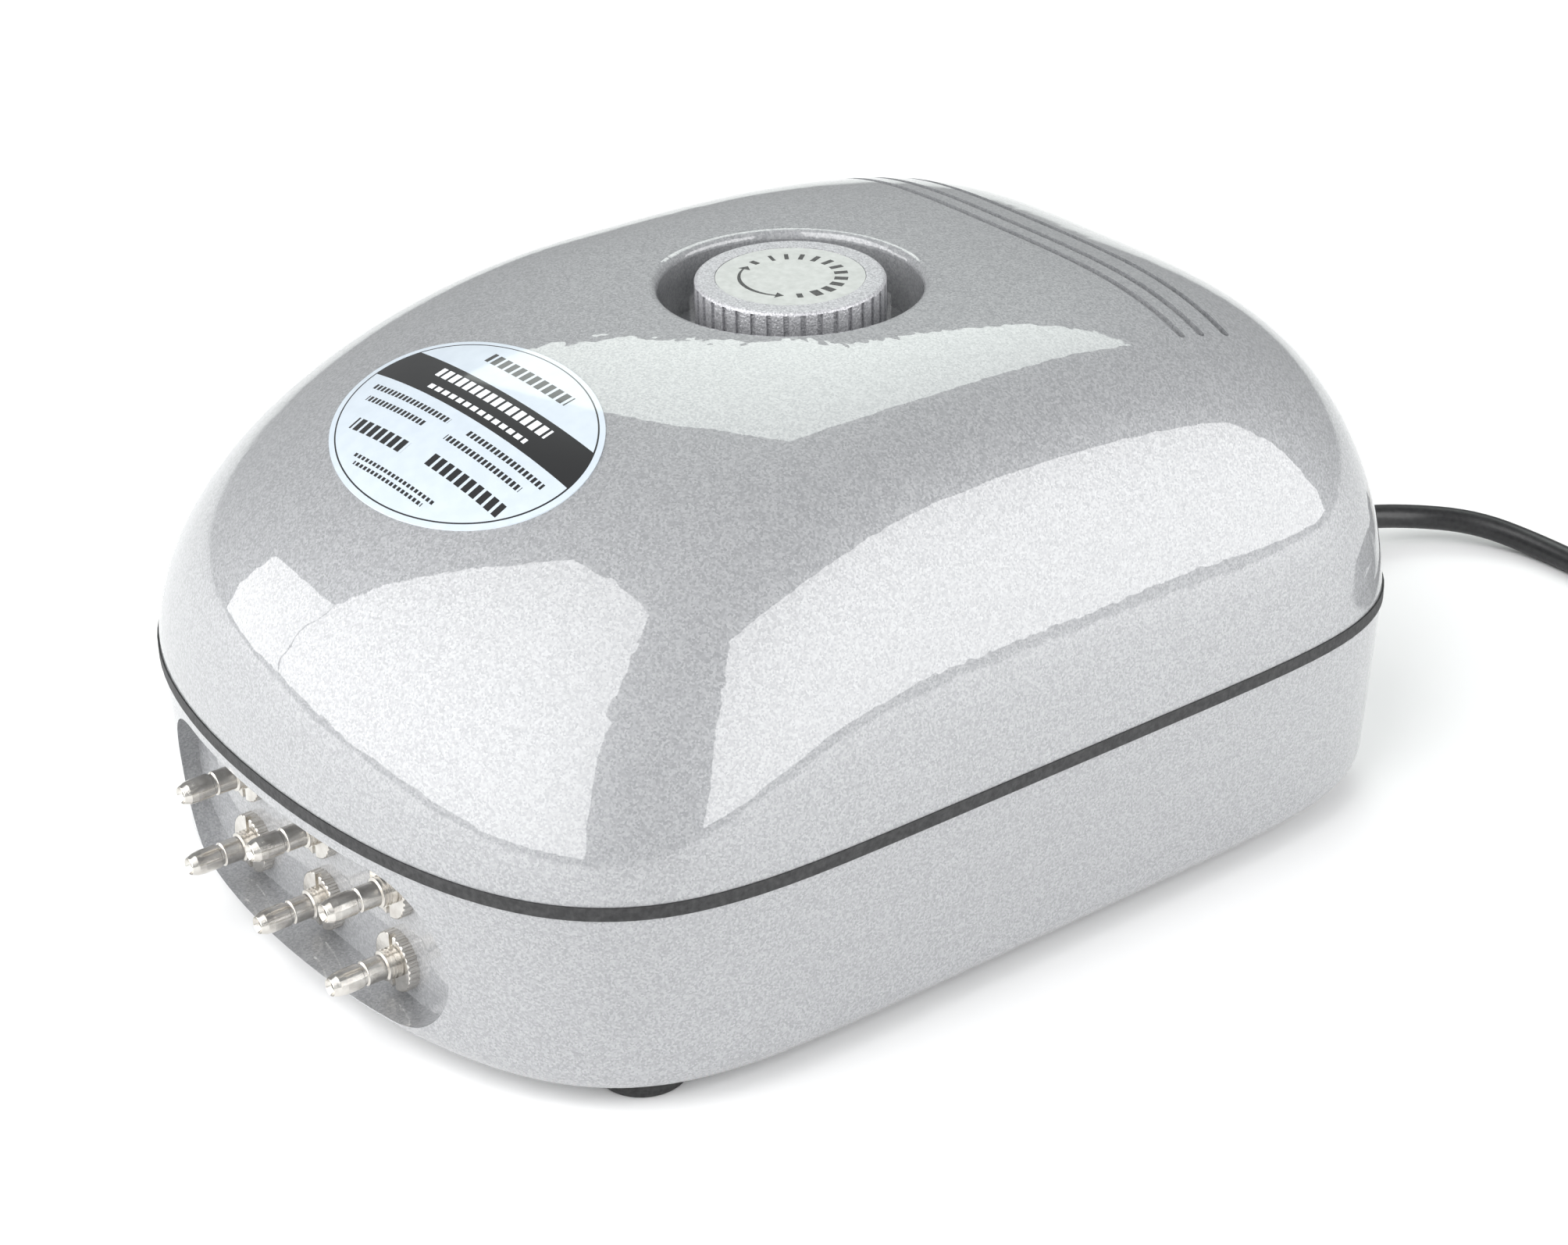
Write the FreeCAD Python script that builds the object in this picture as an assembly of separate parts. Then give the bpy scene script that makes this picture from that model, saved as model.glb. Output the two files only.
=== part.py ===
import FreeCAD, Part
import math
import os

os.makedirs("parts", exist_ok=True)
V = FreeCAD.Vector

# Aquarium air pump: two electromagnetic diaphragm heads in a two-part case.
# Millimetres. +Z up, floor at z = 0. The outlet face looks towards -Y, and the
# cord leaves towards +Y. x = 0 is the case's plane of symmetry. The pump is drawn
# about the case's mid-length and the cord from the tip of its boot. Both are moved
# by mid_y when written, so that the origin is under the middle of the whole pump,
# nipples included.

# ---- case ----
case_length = 225.0
case_width = 172.0
dome_height = 64.4          # above the seam
lower_height = 39.0         # underside to the gasket
foot_height = 4.0
gasket_height = 2.6
gasket_proud = 0.3
gasket_land = 3.2           # how far in from the case line the gasket reaches
wall = 2.5
lower_draft = 0.05          # inwards, per mm down
bottom_radius = 6.0
widest_y = -1.0             # where the plan outline is widest
ring_points = 48            # points round one plan outline
cap_s = 0.9999              # the dome's top section, inside the knob recess

# ---- knob and recess ----
knob_y = 9.4
recess_radius = 25.5
recess_depth = 12.5         # below the dome's top
recess_wall = 2.0
recess_lip = 1.6
knob_radius = 18.4
knob_rib_depth = 0.6
knob_ribs = 36
knob_gap = 0.8              # between the skirt and the recess floor
knob_above_dome = 0.9
knob_skirt = 2.0
knob_top = 2.6
label_radius = 14.5
label_depth = 0.6
label_rise = 0.1            # the inlay stands this much below the knob's face

# ---- rear grooves ----
groove_first_y = 61.3
groove_steps = (0.0, 5.1, 11.6)
groove_width = 1.9
groove_depth = 0.8
groove_half_span = 54.0

# ---- sticker on the front slope ----
sticker_half_width = 33.4
sticker_half_length = 21.0
sticker_y = -65.0
sticker_thickness = 0.2

# ---- outlet pocket ----
pocket_half_width = 48.0
pocket_radius = 16.0
pocket_below_seam = 21.7
pocket_back = 11.5          # back wall, measured in from the front of the case
pocket_taper = 0.05
outlet_pitch_x = 26.0
outlet_pitch_z = 15.7
outlet_reach = 3.8          # tips stand this far out of the case line
shank_radius = 3.0
lock_nut_radius = 5.9
lock_nut_height = 2.2
lock_nut_teeth = 30
seal_ring_height = 1.0
seal_ring_radius = 5.0
nipple_bore = 1.1
stem_radius = 2.35
thread_root = 2.75
ring_groove_radius = 2.0

# ---- air manifold ----
manifold_half_width = 36.0
manifold_depth = 17.5
manifold_wall = 2.5
manifold_height = 33.5
manifold_lid_height = 2.5

# ---- feet and case screws ----
foot_radius = 8.5
foot_inset_x = 21.5
foot_inset_y = 37.0
foot_seat = 1.2             # how far the foot sits up into the base
foot_bore = 4.0
boss_radius = 5.0
case_screw_radius = 1.75
case_screw_reach = 12.0     # depth in the upper casing's bosses
case_screw_head = 3.4
case_screw_head_height = 2.2

# ---- intake filter ----
filter_y = 62.0
filter_length_x = 44.0
filter_length_y = 28.0
filter_cover_height = 2.0
felt_height = 4.0
filter_fit = 0.15
intake_hole = 4.0

# ---- pump module ----
post_height = 5.0
post_radius = 3.0
damper_radius = 6.0
damper_height = 8.0
damper_places = ((28.0, -24.0), (46.0, 30.0))
chassis_thickness = 1.5
chassis_half_width = 58.0
chassis_front = -31.0
chassis_rear = 56.0
chassis_corner = 6.0
chassis_screw_radius = 1.5
chassis_screw_head = 3.0
chassis_screw_head_height = 1.8
winding_clearance = 0.5     # over the chassis plate
core_half_length = 24.0
core_side = 16.0
bobbin_half_length = 20.0
bobbin_wall = 1.5
flange_thickness = 2.0
winding_depth = 5.0
pole_gap = 3.0
magnet_thickness = 4.0
magnet_half_length = 10.0
magnet_height = 18.0
arm_thickness = 3.0
arm_height = 20.0
arm_front = -22.0
pivot_y = 46.0
pivot_pin_radius = 2.0
pivot_clearance = 0.05
pivot_eye_radius = 5.0
bracket_thickness = 2.5
bracket_gap = 0.4           # between an arm's eye and its bracket
head_y = -8.0
head_half_length = 20.0
head_height = 30.0
head_depth = 10.0
head_cover_depth = 5.0
head_screw_radius = 1.25
head_screw_inset = 3.0
diaphragm_depth = 9.0
diaphragm_wall = 1.3
diaphragm_base_radius = 8.0
diaphragm_flange_radius = 14.0
clamp_radius = 6.0
clamp_height = 1.4
valve_pitch = 16.0
valve_pocket_radius = 5.5
valve_flap_radius = 5.0
valve_flap_height = 0.8
valve_pocket_depth = 1.6

# ---- hoses ----
barb_radius = 2.4
barb_length = 8.0
hose_radius = 4.0
manifold_barb_x = 22.0

# ---- speed control ----
pot_radius = 8.5
pot_height = 9.0
bushing_wall = 0.6
bushing_rise = 4.6
shaft_radius = 3.0
shaft_clearance = 0.05
pot_nut_wall = 1.9          # round the bushing, at the flats
pot_nut_height = 2.0
knob_hub_wall = 2.5         # round the shaft
board_half_x = 32.0
board_half_y = 22.0
board_thickness = 1.6
terminal_height = 9.0
terminal_y = 17.0           # behind the knob's axis
terminal_half_y = 4.0

# ---- cord ----
cord_diameter = 5.5
gland_x = 0.0
gland_z = 17.0
relief_length = 25.0        # outside the case
relief_inside = 6.0
relief_root_radius = 6.0
relief_tip_radius = 3.7
relief_collar = 1.6
relief_draft_room = 1.9     # for the wall's draft and round
coil_x = 97.0
coil_y = 105.1
coil_inner = 19.0
coil_outer = 44.5
plug_length = 38.0
plug_half_width = 13.0
plug_half_height = 6.5
plug_neck_radius = 4.0
plug_neck_length = 14.0
pin_radius = 2.0
pin_length = 19.0
pin_pitch = 19.0
lead_radius = 1.0
# Route of the free stretch, from the boot's tip backwards, and up from the floor.
cord_route = (
    (0.0, 0.0, gland_z),
    (0.0, 16.6, gland_z),
    (-1.0, 31.1, 9.0),
    (3.0, 47.1, 6.2),
    (14.0, 59.1, 5.1),
    (28.5, 64.6, 2.75),
    (50.5, 64.1, 2.75),
    (70.0, 62.6, 2.75),
    (86.0, 62.8, 2.75),
)
# Route of the short stretch from the top of the coil to the plug's neck, from the same place.
plug_route = (
    (92.0, 142.8, 8.25),
    (75.0, 142.6, 8.25),
    (57.0, 134.1, 6.5),
)

# ---- levels and places worked out from the above ----
base_z = foot_height
seam_z = base_z + lower_height + gasket_height
knob_root_radius = knob_radius - knob_rib_depth
knob_hub_radius = shaft_radius + knob_hub_wall
bushing_radius = shaft_radius + bushing_wall
pot_nut_across = 2 * (bushing_radius + pot_nut_wall)
arm_level = core_side / 2 + bobbin_wall + winding_depth + winding_clearance
gasket_z = seam_z - gasket_height
floor_z = base_z + wall
top_z = seam_z + dome_height
front_y = -case_length / 2
rear_y = case_length / 2
tip_y = front_y - outlet_reach
mid_y = (-tip_y - rear_y) / 2
boot_tip_y = rear_y + relief_length
pocket_back_y = front_y + pocket_back
pocket_z = seam_z - pocket_below_seam
nut_face_y = pocket_back_y - lock_nut_height
seal_y = pocket_back_y + wall
manifold_y = seal_y + seal_ring_height
manifold_rear_y = manifold_y + manifold_depth
outlet_z = (pocket_z + outlet_pitch_z / 2 - 1.0, pocket_z - outlet_pitch_z / 2 - 1.0)
outlet_x = (-outlet_pitch_x, 0.0, outlet_pitch_x)
foot_x = case_width / 2 - foot_inset_x
foot_y = case_length / 2 - foot_inset_y
chassis_z = floor_z + damper_height
plate_top = chassis_z + chassis_thickness
arm_z = plate_top + arm_level
magnet_x = core_half_length + pole_gap
arm_x = magnet_x + magnet_thickness
diaphragm_x = arm_x + arm_thickness
head_x = diaphragm_x + diaphragm_depth
cover_x = head_x + head_depth
recess_floor_z = top_z - recess_depth
knob_base_z = recess_floor_z + knob_gap
knob_face_z = top_z + knob_above_dome
pot_z = recess_floor_z - recess_wall
board_z = pot_z - pot_height


def box(x0, x1, y0, y1, z0, z1):
    return Part.makeBox(x1 - x0, y1 - y0, z1 - z0, V(x0, y0, z0))


def rod(radius, length, start, direction):
    return Part.makeCylinder(radius, length, V(*start), V(*direction))


def rounded_box(x0, x1, y0, y1, z0, z1, radius):
    """A box whose four vertical edges are rounded."""
    block = box(x0, x1, y0, y1, z0, z1)
    upright = [e for e in block.Edges if abs(e.tangentAt(e.FirstParameter).z) > 0.99]
    return block.makeFillet(radius, upright)


def revolved(profile, axis_point, axis):
    """Solid of revolution of a closed polygon given as points."""
    face = Part.Face(Part.makePolygon([V(*p) for p in profile] + [V(*profile[0])]))
    return face.revolve(V(*axis_point), V(*axis), 360)


def mirror_x(shape):
    return shape.mirror(V(0, 0, 0), V(1, 0, 0))


def write(name, shape, drawn_from=0.0):
    """Check one node and write it, moved from the y it was drawn from into the part's frame."""
    solids = shape.Solids
    shape = shape.copy()
    shape.translate(V(0, mid_y + drawn_from, 0))
    shape.exportStep("parts/" + name + ".step")
    print(name, len(solids), "valid" if shape.isValid() else "NOT VALID", round(shape.Volume, 1))


# ---- the case's form ----

def plan_radius(c, s, p, q):
    """Root r of (r c)^p + (r s)^q = 1, for a direction c, s in the first quadrant."""
    low = 0.0
    high = 2.0
    for _ in range(50):
        r = (low + high) / 2
        if (r * c) ** p + (r * s) ** q > 1.0:
            high = r
        else:
            low = r
    return (low + high) / 2


def outline(half_x, front, rear, front_powers, rear_powers, z):
    """Closed plan outline: one superellipse ahead of widest_y and one behind it."""
    points = []
    for i in range(ring_points):
        t = 2 * math.pi * i / ring_points
        c = math.cos(t)
        s = math.sin(t)
        half_y = rear if s >= 0 else front
        p, q = rear_powers if s >= 0 else front_powers
        r = plan_radius(abs(c), abs(s), p, q)
        points.append(V(r * c * half_x, widest_y + r * s * half_y, z))
    curve = Part.BSplineCurve()
    steps = [float(i) for i in range(ring_points + 1)]
    curve.interpolate(Points=points, PeriodicFlag=True, Parameters=steps)
    return Part.Wire(curve.toShape())


def case_outline(inset, z):
    """The plan outline at the seam, drawn in by inset."""
    return outline(case_width / 2 - inset, case_length / 2 + widest_y - inset,
                   case_length / 2 - widest_y - inset, (2.06, 5.9), (3.8, 6.8), z)


def dome_outline(s, inset):
    """The dome's plan outline at the share s of its height."""
    half_x = (case_width / 2 - inset) * (1 - s ** 1.44) ** (1 / 5.07)
    front = (case_length / 2 + widest_y - inset) * (1 - s ** 1.9) ** (1 / 2.8)
    rear = (case_length / 2 - widest_y - inset) * (1 - s ** 2.88) ** (1 / 4.0)
    k = s ** 1.4
    front_powers = (2.06 - 0.06 * k, 5.9 - 3.9 * k)
    rear_powers = (3.8 - 0.3 * k, 6.8 - 4.3 * k)
    return outline(half_x, front, rear, front_powers, rear_powers,
                   seam_z + s * (dome_height - inset))


def dome(inset, sections=15):
    """Solid dome on the seam plane, its surface drawn in by inset."""
    last = 1 - (1 - cap_s) ** (1 / 3)
    shares = [1 - (1 - last * i / (sections - 1)) ** 3 for i in range(sections)]
    return Part.makeLoft([dome_outline(s, inset) for s in shares], True, False)


def band(outer, inner, z0, z1):
    """Upright ring between two insets from the case outline."""
    height = V(0, 0, z1 - z0)
    outside = Part.Face(case_outline(outer, z0)).extrude(height)
    inside = Part.Face(case_outline(inner, z0)).extrude(height)
    return outside.cut(inside)


def tub(inset, bottom_z, radius):
    """Solid drafted form of the lower casing, from bottom_z up to the gasket."""
    draft = lower_draft * (gasket_z - bottom_z)
    solid = Part.makeLoft([case_outline(inset + draft, bottom_z), case_outline(inset, gasket_z)],
                          True, True)
    bottom = [e for e in solid.Edges
              if e.BoundBox.ZLength < 0.01 and abs(e.BoundBox.ZMin - bottom_z) < 0.01]
    return solid.makeFillet(radius, bottom)


def stadium(extra, y):
    """Stadium-shaped wire of the pocket in the plane y, grown by extra."""
    r = pocket_radius + extra
    x = pocket_half_width - pocket_radius
    corners = [V(-x, y, pocket_z - r), V(x, y, pocket_z - r), V(x, y, pocket_z + r), V(-x, y, pocket_z + r)]
    right = Part.Arc(corners[1], V(x + r, y, pocket_z), corners[2])
    left = Part.Arc(corners[3], V(-x - r, y, pocket_z), corners[0])
    edges = [Part.LineSegment(corners[0], corners[1]), right, Part.LineSegment(corners[2], corners[3]), left]
    return Part.Wire([e.toShape() for e in edges])


def four_feet():
    return [(x, y) for y in (-foot_y, foot_y) for x in (-foot_x, foot_x)]


def outlets():
    return [(x, z) for z in outlet_z for x in outlet_x]


def dampers():
    return [(side * x, y) for x, y in damper_places for side in (-1, 1)]


# ---- casings and gasket ----

def make_lower_shell():
    outer = tub(0.0, base_z, bottom_radius)
    shell = outer.cut(tub(wall, floor_z, bottom_radius - wall))
    front = front_y - 10.0
    block = Part.Face(stadium(wall, pocket_back_y + wall)).extrude(V(0, front - pocket_back_y - wall, 0))
    grow = pocket_taper * (pocket_back_y - front)
    cavity = Part.makeLoft([stadium(0.0, pocket_back_y), stadium(grow, front)], True, True)
    additions = [block.common(outer)]
    for x, y in four_feet():
        additions.append(rod(boss_radius, gasket_z - floor_z + 1.0, (x, y, floor_z - 1.0), (0, 0, 1)))
    for x, y in dampers():
        additions.append(rod(post_radius, post_height + 1.0, (x, y, floor_z - 1.0), (0, 0, 1)))
    hx = filter_length_x / 2 + filter_fit
    hy = filter_length_y / 2 + filter_fit
    well = base_z + filter_cover_height + felt_height
    additions.append(rounded_box(-hx - wall, hx + wall, filter_y - hy - wall, filter_y + hy + wall,
                                 base_z + 1.0, well + wall, 3.0 + wall))
    shell = shell.multiFuse(additions)
    cuts = [cavity]
    cuts.append(rounded_box(-hx, hx, filter_y - hy, filter_y + hy, base_z - 1.0, well, 3.0))
    cuts.append(rod(intake_hole, wall + 2.0, (0, filter_y, well - 1.0), (0, 0, 1)))
    for x, z in outlets():
        cuts.append(rod(shank_radius, wall + 2.0, (x, pocket_back_y - 1.0, z), (0, 1, 0)))
    for x, y in four_feet():
        cuts.append(rod(foot_radius, foot_seat + 1.0, (x, y, base_z - 1.0), (0, 0, 1)))
        cuts.append(rod(case_screw_radius, lower_height + 2.0, (x, y, base_z), (0, 0, 1)))
    for x, y in dampers():
        cuts.append(rod(chassis_screw_radius, post_height, (x, y, floor_z), (0, 0, 1)))
    cuts.append(rod(relief_root_radius, 20.0, (gland_x, rear_y - 10.0, gland_z), (0, 1, 0)))
    return shell.cut(cuts)


def make_upper_shell():
    outer = dome(0.0)
    inner = dome(wall)
    shell = outer.cut(inner)
    tall = dome_height
    additions = [rod(recess_radius + recess_wall, tall, (0, knob_y, pot_z), (0, 0, 1)).common(outer)]
    for x, y in four_feet():
        boss = rod(boss_radius, tall, (x, y, seam_z - gasket_height), (0, 0, 1))
        upper = boss.common(outer)
        foot = rod(boss_radius, gasket_height, (x, y, gasket_z), (0, 0, 1))
        additions.append(upper.fuse(foot))
    additions.append(band(wall - 1.0, gasket_land + 1.9, seam_z, seam_z + 2.0))
    additions.append(band(gasket_land + 0.4, gasket_land + 1.9, gasket_z + 0.4, seam_z + 1.0))
    shell = shell.multiFuse(additions)
    shell = shell.cut(rod(recess_radius, tall, (0, knob_y, recess_floor_z), (0, 0, 1)))
    lip = [e for e in shell.Edges
           if e.Length > 4.0 * recess_radius and e.BoundBox.ZMin > recess_floor_z + 2.0
           and abs(e.BoundBox.XLength - 2 * recess_radius) < 0.2]
    if lip:
        shell = shell.makeFillet(recess_lip, lip)
    cuts = [rod(bushing_radius, recess_wall + 2.0, (0, knob_y, pot_z - 1.0), (0, 0, 1))]
    skin = dome(groove_depth)
    for step in groove_steps:
        y = groove_first_y + step
        slab = rounded_box(-groove_half_span, groove_half_span, y - groove_width / 2,
                           y + groove_width / 2, seam_z + 10.0, top_z + 5.0, groove_width / 2 - 0.01)
        cuts.append(slab.cut(skin))
    screw_length = case_screw_reach + 1.0
    for x, y in four_feet():
        cuts.append(rod(case_screw_radius, screw_length, (x, y, gasket_z - 1.0), (0, 0, 1)))
    return shell.cut(cuts)


def make_gasket():
    return band(-gasket_proud, gasket_land, gasket_z, seam_z)


def make_name_label():
    """Oval film on the front slope, cut from a thin skin of the dome."""
    skin = dome(-sticker_thickness).cut(dome(0.0))
    oval = Part.Ellipse(V(0, sticker_y, 0), sticker_half_width, sticker_half_length)
    prism = Part.Face(Part.Wire(oval.toShape())).extrude(V(0, 0, top_z + 10.0))
    return skin.common(prism)


def make_foot(x, y):
    """Rubber ring seated in the base, its bottom edge rounded."""
    foot = rod(foot_radius, base_z + foot_seat, (x, y, 0), (0, 0, 1))
    rim = [e for e in foot.Edges if e.BoundBox.ZMax < 0.01]
    foot = foot.makeFillet(1.0, rim)
    foot = foot.cut(rod(foot_bore, base_z + foot_seat - 1.5, (x, y, 0), (0, 0, 1)))
    return foot.cut(rod(case_screw_radius, base_z + 5.0, (x, y, 0), (0, 0, 1)))


def make_case_screws():
    """Pan-head screws from inside the feet up into the upper casing."""
    screws = []
    head_z = base_z + foot_seat - 1.5
    top = gasket_z + case_screw_reach
    for x, y in four_feet():
        screw = rod(case_screw_radius, top - head_z, (x, y, head_z), (0, 0, 1))
        head = rod(case_screw_head, case_screw_head_height, (x, y, head_z), (0, 0, -1))
        slot = box(x - 4.0, x + 4.0, y - 0.4, y + 0.4, head_z - 3.0, head_z - 1.4)
        cross = box(x - 0.4, x + 0.4, y - 4.0, y + 4.0, head_z - 3.0, head_z - 1.4)
        star = slot.fuse(cross).common(rod(2.0, 6.0, (x, y, head_z - 4.0), (0, 0, 1)))
        screws.append(screw.fuse(head).cut(star))
    return Part.makeCompound(screws)


# ---- outlets and manifold ----

def make_nipple(x, z):
    """Turned brass nipple with threaded shank, plain stem and barbed, countersunk head."""
    shank_end = manifold_y + manifold_wall + 1.5
    y = nut_face_y
    length = y - tip_y
    profile = [
        (nipple_bore, shank_end), (shank_radius, shank_end), (shank_radius, y - 0.5),
        (thread_root, y - 0.5), (thread_root, y - 0.9), (shank_radius, y - 0.9), (shank_radius, y - 1.3),
        (thread_root, y - 1.3), (thread_root, y - 1.7), (2.9, y - 1.7), (2.9, y - 2.1),
        (stem_radius, y - 2.3), (stem_radius, tip_y + 0.54 * length),
        (ring_groove_radius, tip_y + 0.52 * length), (ring_groove_radius, tip_y + 0.48 * length),
        (stem_radius, tip_y + 0.46 * length), (stem_radius, tip_y + 0.2 * length),
        (2.2, tip_y + 0.1 * length), (1.75, tip_y + 0.01 * length),
        (1.65, tip_y), (nipple_bore, tip_y + 0.9),
    ]
    points = [(x + r, v, z) for r, v in profile]
    return revolved(points, (x, 0, z), (0, 1, 0))


def make_lock_nuts():
    """Knurled round nuts with a screwdriver slot across the front face."""
    nuts = []
    pitch = 2 * math.pi / lock_nut_teeth
    for x, z in outlets():
        nut = rod(lock_nut_radius, lock_nut_height, (x, nut_face_y, z), (0, 1, 0))
        front = [e for e in nut.Edges if abs(e.BoundBox.YMax - nut_face_y) < 0.01]
        nut = nut.makeFillet(0.35, front)
        notches = []
        for i in range(lock_nut_teeth):
            a = pitch * i
            cx = x + (lock_nut_radius + 0.15) * math.cos(a)
            cz = z + (lock_nut_radius + 0.15) * math.sin(a)
            notches.append(rod(0.4, lock_nut_height + 2.0, (cx, nut_face_y - 1.0, cz), (0, 1, 0)))
        slot = box(x - 0.6, x + 0.6, nut_face_y - 1.0, nut_face_y + 0.9, z - 8.0, z + 8.0)
        bore = rod(shank_radius, 6.0, (x, nut_face_y - 1.0, z), (0, 1, 0))
        nuts.append(nut.cut(notches + [slot, bore]))
    return Part.makeCompound(nuts)


def make_seal_rings():
    rings = []
    for x, z in outlets():
        ring = rod(seal_ring_radius, seal_ring_height, (x, seal_y, z), (0, 1, 0))
        rings.append(ring.cut(rod(shank_radius, seal_ring_height, (x, seal_y, z), (0, 1, 0))))
    return Part.makeCompound(rings)


def make_manifold():
    """Open-backed air chamber clamped to the pocket wall by the nipples."""
    w = manifold_half_width
    t = manifold_wall
    top = floor_z + manifold_height
    body = rounded_box(-w, w, manifold_y, manifold_rear_y, floor_z, top, 2.0)
    body = body.cut(box(-w + t, w - t, manifold_y + t, manifold_rear_y, floor_z + t, top - t))
    for x, z in outlets():
        body = body.cut(rod(shank_radius, t, (x, manifold_y, z), (0, 1, 0)))
    return body


def make_manifold_lid():
    w = manifold_half_width
    lid = box(-w, w, manifold_rear_y, manifold_rear_y + manifold_lid_height,
              floor_z, floor_z + manifold_height)
    back = manifold_rear_y + manifold_lid_height
    for side in (-1, 1):
        barb = rod(barb_radius, barb_length, (side * manifold_barb_x, back, arm_z), (0, 1, 0))
        lid = lid.fuse(barb)
        x = side * manifold_barb_x
        bore = rod(barb_radius - 1.0, barb_length + 8.0, (x, back - 4.0, arm_z), (0, 1, 0))
        lid = lid.cut(bore)
    return lid


# ---- filter ----

def make_filter_felt():
    hx = filter_length_x / 2 - 1.0
    hy = filter_length_y / 2 - 1.0
    z = base_z + filter_cover_height
    return rounded_box(-hx, hx, filter_y - hy, filter_y + hy, z, z + felt_height, 2.0)


def make_filter_cover():
    hx = filter_length_x / 2
    hy = filter_length_y / 2
    cover = rounded_box(-hx, hx, filter_y - hy, filter_y + hy, base_z, base_z + filter_cover_height, 2.8)
    for i in range(-4, 5):
        slot = box(i * 4.0 - 1.0, i * 4.0 + 1.0, filter_y - hy + 5.0, filter_y + hy - 5.0,
                   base_z - 1.0, base_z + 5.0)
        cover = cover.cut(slot)
    return cover


# ---- pump module ----

def make_chassis():
    """Bent steel plate with a U-bracket for each arm's pivot."""
    plate = rounded_box(-chassis_half_width, chassis_half_width, chassis_front, chassis_rear,
                        chassis_z, plate_top, chassis_corner)
    t = bracket_thickness
    x0 = arm_x - 4.5
    x1 = arm_x + arm_thickness + 4.5
    y0 = pivot_y - pivot_eye_radius - 1.0
    y1 = pivot_y + pivot_eye_radius + 1.0
    eye_low = arm_z - arm_height / 2
    eye_high = arm_z + arm_height / 2
    gap = bracket_gap
    for side in (-1, 1):
        low = min(side * x0, side * x1)
        high = max(side * x0, side * x1)
        web = box(low, high, y1, y1 + t, plate_top - 0.5, eye_high + gap + t)
        upper = box(low, high, y0, y1 + t, eye_high + gap, eye_high + gap + t)
        lower = box(low, high, y0, y1 + t, plate_top - 0.5, eye_low - gap)
        plate = plate.multiFuse([web, upper, lower])
        pin_x = side * (arm_x + arm_thickness / 2)
        plate = plate.cut(rod(pivot_pin_radius, top_z, (pin_x, pivot_y, chassis_z - 1.0), (0, 0, 1)))
    for x, y in dampers():
        plate = plate.cut(rod(chassis_screw_radius, 5.0, (x, y, chassis_z - 1.0), (0, 0, 1)))
    return plate


def make_dampers():
    """Rubber bushes round the posts, under the chassis plate."""
    bushes = []
    for x, y in dampers():
        bush = rod(damper_radius, damper_height, (x, y, floor_z), (0, 0, 1))
        waist = rod(damper_radius + 1.0, 2.4, (x, y, floor_z + 3.0), (0, 0, 1))
        waist = waist.cut(rod(damper_radius - 1.0, 2.4, (x, y, floor_z + 3.0), (0, 0, 1)))
        bush = bush.cut(waist).cut(rod(post_radius, post_height, (x, y, floor_z), (0, 0, 1)))
        bushes.append(bush.cut(rod(chassis_screw_radius, damper_height, (x, y, floor_z), (0, 0, 1))))
    return Part.makeCompound(bushes)


def make_chassis_screws():
    screws = []
    for x, y in dampers():
        screw = rod(chassis_screw_radius, plate_top - floor_z - 0.5, (x, y, floor_z + 0.5), (0, 0, 1))
        head = rod(chassis_screw_head, chassis_screw_head_height, (x, y, plate_top), (0, 0, 1))
        screws.append(screw.fuse(head))
    return Part.makeCompound(screws)


def make_core():
    h = core_side / 2
    return box(-core_half_length, core_half_length, -h, h, arm_z - h, arm_z + h)


def make_bobbin():
    """Former whose two flanges stand on the chassis plate."""
    h = core_side / 2
    b = h + bobbin_wall
    f = arm_level
    former = box(-bobbin_half_length, bobbin_half_length, -b, b, arm_z - b, arm_z + b)
    for x in (-bobbin_half_length, bobbin_half_length - flange_thickness):
        flange = rounded_box(x, x + flange_thickness, -f, f, arm_z - f, arm_z + f, 0.8)
        former = former.fuse(flange)
    return former.cut(box(-core_half_length, core_half_length, -h, h, arm_z - h, arm_z + h))


def make_winding():
    b = core_side / 2 + bobbin_wall
    w = b + winding_depth
    x = bobbin_half_length - flange_thickness
    coil = box(-x, x, -w, w, arm_z - w, arm_z + w)
    long_edges = [e for e in coil.Edges if e.BoundBox.XLength > 2 * x - 0.1]
    coil = coil.makeFillet(winding_depth - 0.5, long_edges)
    return coil.cut(box(-x, x, -b, b, arm_z - b, arm_z + b))


def make_arm():
    """Right-hand swing arm: a flat lever with a pivot eye at the rear."""
    z0 = arm_z - arm_height / 2
    blade = box(arm_x, arm_x + arm_thickness, arm_front, pivot_y, z0, z0 + arm_height)
    pin_x = arm_x + arm_thickness / 2
    eye = rod(pivot_eye_radius, arm_height, (pin_x, pivot_y, z0), (0, 0, 1))
    arm = blade.fuse(eye)
    arm = arm.cut(rod(pivot_pin_radius + pivot_clearance, arm_height, (pin_x, pivot_y, z0), (0, 0, 1)))
    arm = arm.cut(rod(6.0, 20.0, (arm_x - 8.0, 22.0, arm_z), (1, 0, 0)))
    return arm.cut(rod(chassis_screw_radius, 20.0, (arm_x - 8.0, head_y, arm_z), (1, 0, 0)))


def make_magnet():
    h = magnet_height / 2
    return box(magnet_x, arm_x, -magnet_half_length, magnet_half_length, arm_z - h, arm_z + h)


def make_pivot_pins():
    reach = arm_height / 2 + bracket_gap + bracket_thickness
    pins = []
    for side in (-1, 1):
        x = side * (arm_x + arm_thickness / 2)
        pins.append(rod(pivot_pin_radius, 2 * reach, (x, pivot_y, arm_z - reach), (0, 0, 1)))
    return Part.makeCompound(pins)


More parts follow.
